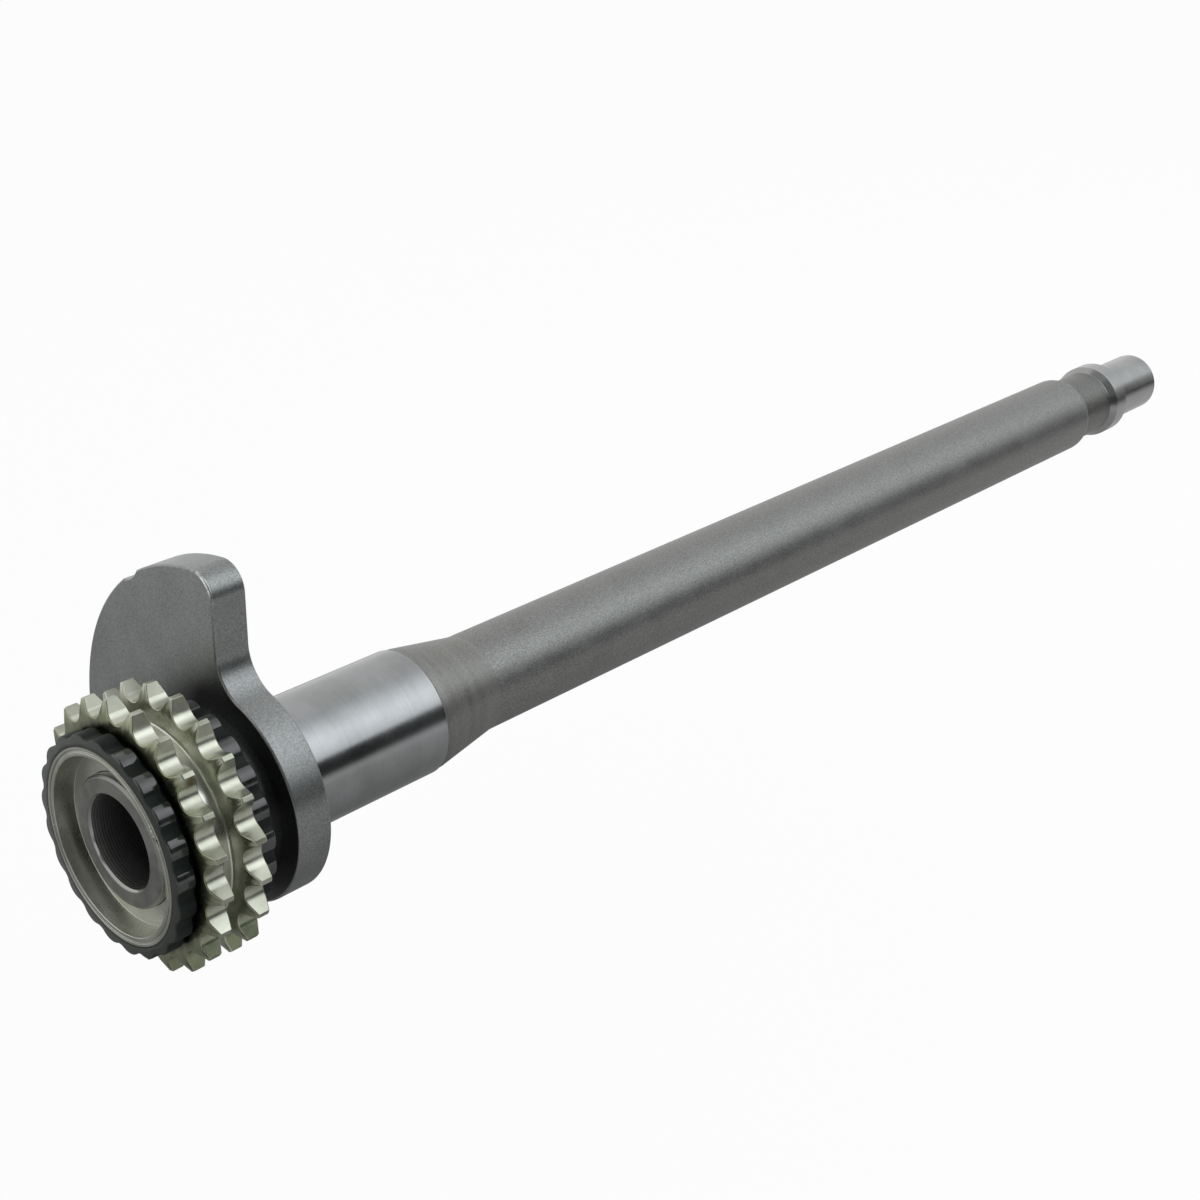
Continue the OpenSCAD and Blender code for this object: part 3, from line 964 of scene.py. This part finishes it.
sprocket_surface = Surface()
hub_line = hub_profile()
sprocket_surface.patch(turned_grid(hub_line), [p[2] for p in hub_line], wrap_cols=True)
for row_middle in ROW_MIDDLES:
    add_tooth_row(sprocket_surface, row_middle)
sprocket = sprocket_surface.build("sprocket_dressed", sprocket_finishes)

front_ring = build_ring("front_ring_dressed", HUB_FRONT, 1, rubber_finishes, FRONT_HIGHLIGHT_SPAN)
rear_ring = build_ring("rear_ring_dressed", HUB_REAR, -1, rubber_finishes, REAR_HIGHLIGHT_SPAN)

for piece, node, slot in (
    (shaft, "balance_shaft", "shaft_steel"),
    (sprocket, "drive_sprocket", "sprocket_steel"),
    (front_ring, "front_damper_ring", "damper_rubber"),
    (rear_ring, "rear_damper_ring", "damper_rubber"),
):
    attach(piece, "root")
    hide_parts(node)

# Stage in metres: floor and the card above it, with pairs of distance and glow
WHITE = (1.0, 1.0, 1.0)
FLOOR_Z = -0.16
FLOOR_LOW = (-6.0, -6.0)
FLOOR_HIGH = (6.0, 6.0)
FLOOR_GREY = (0.86, 0.86, 0.86)
FLOOR_WHITE_SHARE = 0.9
CARD_LIFT = 0.005
CARD_LOW = (-4.0, -4.0)
CARD_HIGH = (4.0, 0.8)
CARD_MIDDLE = (-0.02, 0.16, FLOOR_Z)
CARD_LEVELS = (
    (0.18, 0.25),
    (0.30, 0.43),
    (0.40, 0.50),
    (0.60, 0.58),
    (0.75, 0.72),
    (0.95, 0.72),
    (1.35, 0.42),
    (2.2, 0.12),
)

# Plain curved cards: name, azimuths and elevations in degrees, and glow
DOME_R = 2.4
DOME_STEPS = 24
DOME_ROWS = 8
PLAIN_CARDS = (
    ("dark_card", (-150.0, -25.0), (-4.5, 17.0), 0.04),
    ("camera_side_card", (-172.0, -72.0), (17.0, 70.0), 0.2),
    ("overhead_card", (0.0, 360.0), (70.0, 89.5), 0.42),
)

# Key light and the card that stands for it in reflections, in metres and degrees
KEY_AZIMUTH = -44.5
KEY_ELEVATION = 40.0
KEY_CARD_R = 2.5
KEY_CARD_AZIMUTHS = (-100.0, 8.0)
KEY_CARD_ELEVATIONS = (15.0, 82.0)
KEY_CARD_LEVELS = ((0.0, 2.2), (0.43, 1.95), (0.86, 1.6), (1.3, 1.2), (1.7, 1.0))
KEY_TARGET = (0.06, 0.0, 0.0)
KEY_DISTANCE = 1.5
KEY_WIDTH = 1.5
KEY_HEIGHT = 0.70
KEY_POWER = 5.2
KEY_COLOUR = (0.94, 0.97, 1.0)
AMBIENT = 0.85

# Camera at the photograph's place, in metres, with its lens and sensor in millimetres
CAMERA_PLACE = (-0.246923, -0.321164, 0.222490)
CAMERA_RIGHT = (0.68431, -0.72918, 0.0)
CAMERA_FORWARD = (0.66274, 0.62196, -0.41706)
CAMERA_LENS = 55.962
CAMERA_SENSOR = 36.0
CAMERA_NEAR = 0.01
CAMERA_FAR = 50.0


def background_share(tree, scale):
    """How much of the plain background a ray sees: camera, mirror and glass rays see it."""
    path = tree.nodes.new("ShaderNodeLightPath")
    total = path.outputs["Is Camera Ray"]
    for name in ("Is Glossy Ray", "Is Transmission Ray"):
        either = tree.nodes.new("ShaderNodeMath")
        either.operation = "MAXIMUM"
        tree.links.new(total, either.inputs[0])
        tree.links.new(path.outputs[name], either.inputs[1])
        total = either.outputs["Value"]
    share = tree.nodes.new("ShaderNodeMath")
    share.operation = "MULTIPLY"
    share.inputs[1].default_value = scale
    tree.links.new(total, share.inputs[0])
    return share.outputs["Value"]


def stage_piece(name, points, faces):
    """A sheet of the stage with an empty material, and that material's nodes."""
    mesh = bpy.data.meshes.new(name)
    mesh.from_pydata(points, [], faces)
    material = bpy.data.materials.new(name)
    material.use_nodes = True
    mesh.materials.append(material)
    sheet = bpy.data.objects.new(name, mesh)
    bpy.context.scene.collection.objects.link(sheet)
    return sheet, material.node_tree


def level_sheet(name, low, high, height):
    """A level rectangle of the stage between two corners."""
    corners = [(low[0], low[1]), (high[0], low[1]), (high[0], high[1]), (low[0], high[1])]
    return stage_piece(name, [(*corner, height) for corner in corners], [(0, 1, 2, 3)])


def glowing(tree, level):
    """Makes a card's material a plain glow of one level, seen in reflections."""
    glow = tree.nodes.new("ShaderNodeEmission")
    glow.inputs["Strength"].default_value = level
    tree.links.new(glow.outputs["Emission"], tree.nodes["Material Output"].inputs["Surface"])
    return glow


def grade(tree, middle, levels, tint):
    """Makes a card's glow follow the distance from a place, by pairs of distance and level."""
    brightest = max(level for _, level in levels)
    furthest = levels[-1][0]
    glow = glowing(tree, brightest)
    coords = tree.nodes.new("ShaderNodeTexCoord")
    away = tree.nodes.new("ShaderNodeVectorMath")
    away.operation = "DISTANCE"
    away.inputs[1].default_value = middle
    tree.links.new(coords.outputs["Object"], away.inputs[0])
    share = tree.nodes.new("ShaderNodeMath")
    share.operation = "DIVIDE"
    share.inputs[1].default_value = furthest
    tree.links.new(away.outputs["Value"], share.inputs[0])
    stops = []
    for distance, level in levels:
        stops.append((distance / furthest, [level / brightest * part for part in tint]))
    ramp = tree.nodes.new("ShaderNodeValToRGB")
    fill_ramp(ramp, stops)
    tree.links.new(share.outputs["Value"], ramp.inputs["Fac"])
    tree.links.new(ramp.outputs["Color"], glow.inputs["Color"])


def reflected_only(card):
    """The card shapes what the polished steel mirrors, and blocks no light."""
    card.visible_camera = False
    card.visible_diffuse = False
    card.visible_shadow = False
    card.visible_transmission = False


def add_floor():
    """White floor that still shows the object's shadow a little."""
    _, tree = level_sheet("floor", FLOOR_LOW, FLOOR_HIGH, FLOOR_Z)
    paint = tree.nodes["Principled BSDF"]
    paint.inputs["Base Color"].default_value = (*FLOOR_GREY, 1.0)
    paint.inputs["Roughness"].default_value = 1.0
    paint.inputs["Specular IOR Level"].default_value = 0.0
    white = tree.nodes.new("ShaderNodeEmission")
    mix = tree.nodes.new("ShaderNodeMixShader")
    tree.links.new(background_share(tree, FLOOR_WHITE_SHARE), mix.inputs["Fac"])
    tree.links.new(paint.outputs["BSDF"], mix.inputs[1])
    tree.links.new(white.outputs["Emission"], mix.inputs[2])
    tree.links.new(mix.outputs["Shader"], tree.nodes["Material Output"].inputs["Surface"])


def add_floor_card():
    """Card seen only in reflections: grey under the object in the mirrored floor as a painted
    shadow, paler further out and dark again far away.
    """
    card, tree = level_sheet("floor_card", CARD_LOW, CARD_HIGH, FLOOR_Z + CARD_LIFT)
    grade(tree, CARD_MIDDLE, CARD_LEVELS, WHITE)
    reflected_only(card)


def dome_point(azimuth, elevation, reach):
    """Point at a distance from the origin, in a direction given in degrees."""
    across = math.cos(math.radians(elevation))
    flat = polar(across, azimuth)
    return Vector((flat[0], flat[1], math.sin(math.radians(elevation)))) * reach


def dome_card(name, azimuths, elevations, reach):
    """Curved card round the object between two azimuths and two elevations, in degrees."""
    points = []
    for azimuth in np.linspace(*azimuths, DOME_STEPS + 1):
        for elevation in np.linspace(*elevations, DOME_ROWS + 1):
            points.append(dome_point(azimuth, elevation, reach))
    faces = []
    for i in range(DOME_STEPS):
        for k in range(DOME_ROWS):
            first = i * (DOME_ROWS + 1) + k
            faces.append((first, first + DOME_ROWS + 1, first + DOME_ROWS + 2, first + 1))
    card, tree = stage_piece(name, points, faces)
    reflected_only(card)
    return tree


def add_key_card():
    """What the steel mirrors of the key light: brightest in the middle, with no edge."""
    tree = dome_card("key_card", KEY_CARD_AZIMUTHS, KEY_CARD_ELEVATIONS, KEY_CARD_R)
    middle = dome_point(KEY_AZIMUTH, KEY_ELEVATION, KEY_CARD_R)
    grade(tree, middle, KEY_CARD_LEVELS, KEY_COLOUR)


def add_key():
    """Soft lamp that lights the piece. Reflections show the key card in its stead."""
    lamp = bpy.data.lights.new("key_softbox", "AREA")
    lamp.shape = "RECTANGLE"
    lamp.size = KEY_WIDTH
    lamp.size_y = KEY_HEIGHT
    lamp.energy = KEY_POWER
    lamp.color = KEY_COLOUR
    holder = bpy.data.objects.new("key_softbox", lamp)
    bpy.context.scene.collection.objects.link(holder)
    holder.visible_glossy = False
    towards = dome_point(KEY_AZIMUTH, KEY_ELEVATION, 1.0)
    holder.location = Vector(KEY_TARGET) + towards * KEY_DISTANCE
    holder.rotation_mode = "QUATERNION"
    holder.rotation_quaternion = (-towards).to_track_quat("-Z", "Y")


def add_world():
    """Even light from all sides, and plain white where the background shows."""
    world = bpy.data.worlds.new("studio")
    bpy.context.scene.world = world
    world.use_nodes = True
    tree = world.node_tree
    ambient = tree.nodes["Background"]
    plain = tree.nodes.new("ShaderNodeBackground")
    for shade, strength in ((ambient, AMBIENT), (plain, 1.0)):
        shade.inputs["Color"].default_value = (*WHITE, 1.0)
        shade.inputs["Strength"].default_value = strength
    mix = tree.nodes.new("ShaderNodeMixShader")
    tree.links.new(background_share(tree, 1.0), mix.inputs["Fac"])
    tree.links.new(ambient.outputs["Background"], mix.inputs[1])
    tree.links.new(plain.outputs["Background"], mix.inputs[2])
    tree.links.new(mix.outputs["Shader"], tree.nodes["World Output"].inputs["Surface"])


def add_camera():
    data = bpy.data.cameras.new("camera")
    data.lens = CAMERA_LENS
    data.sensor_width = CAMERA_SENSOR
    data.clip_start = CAMERA_NEAR
    data.clip_end = CAMERA_FAR
    camera = bpy.data.objects.new("camera", data)
    bpy.context.scene.collection.objects.link(camera)
    right = Vector(CAMERA_RIGHT)
    forward = Vector(CAMERA_FORWARD).normalized()
    place = Matrix((right, right.cross(forward), -forward)).transposed().to_4x4()
    place.translation = Vector(CAMERA_PLACE)
    camera.matrix_world = place
    bpy.context.scene.camera = camera


add_floor()
add_floor_card()
for name, azimuths, elevations, level in PLAIN_CARDS:
    glowing(dome_card(name, azimuths, elevations, DOME_R), level)
add_key_card()
add_key()
add_world()
add_camera()
bpy.context.scene.view_settings.view_transform = "Standard"
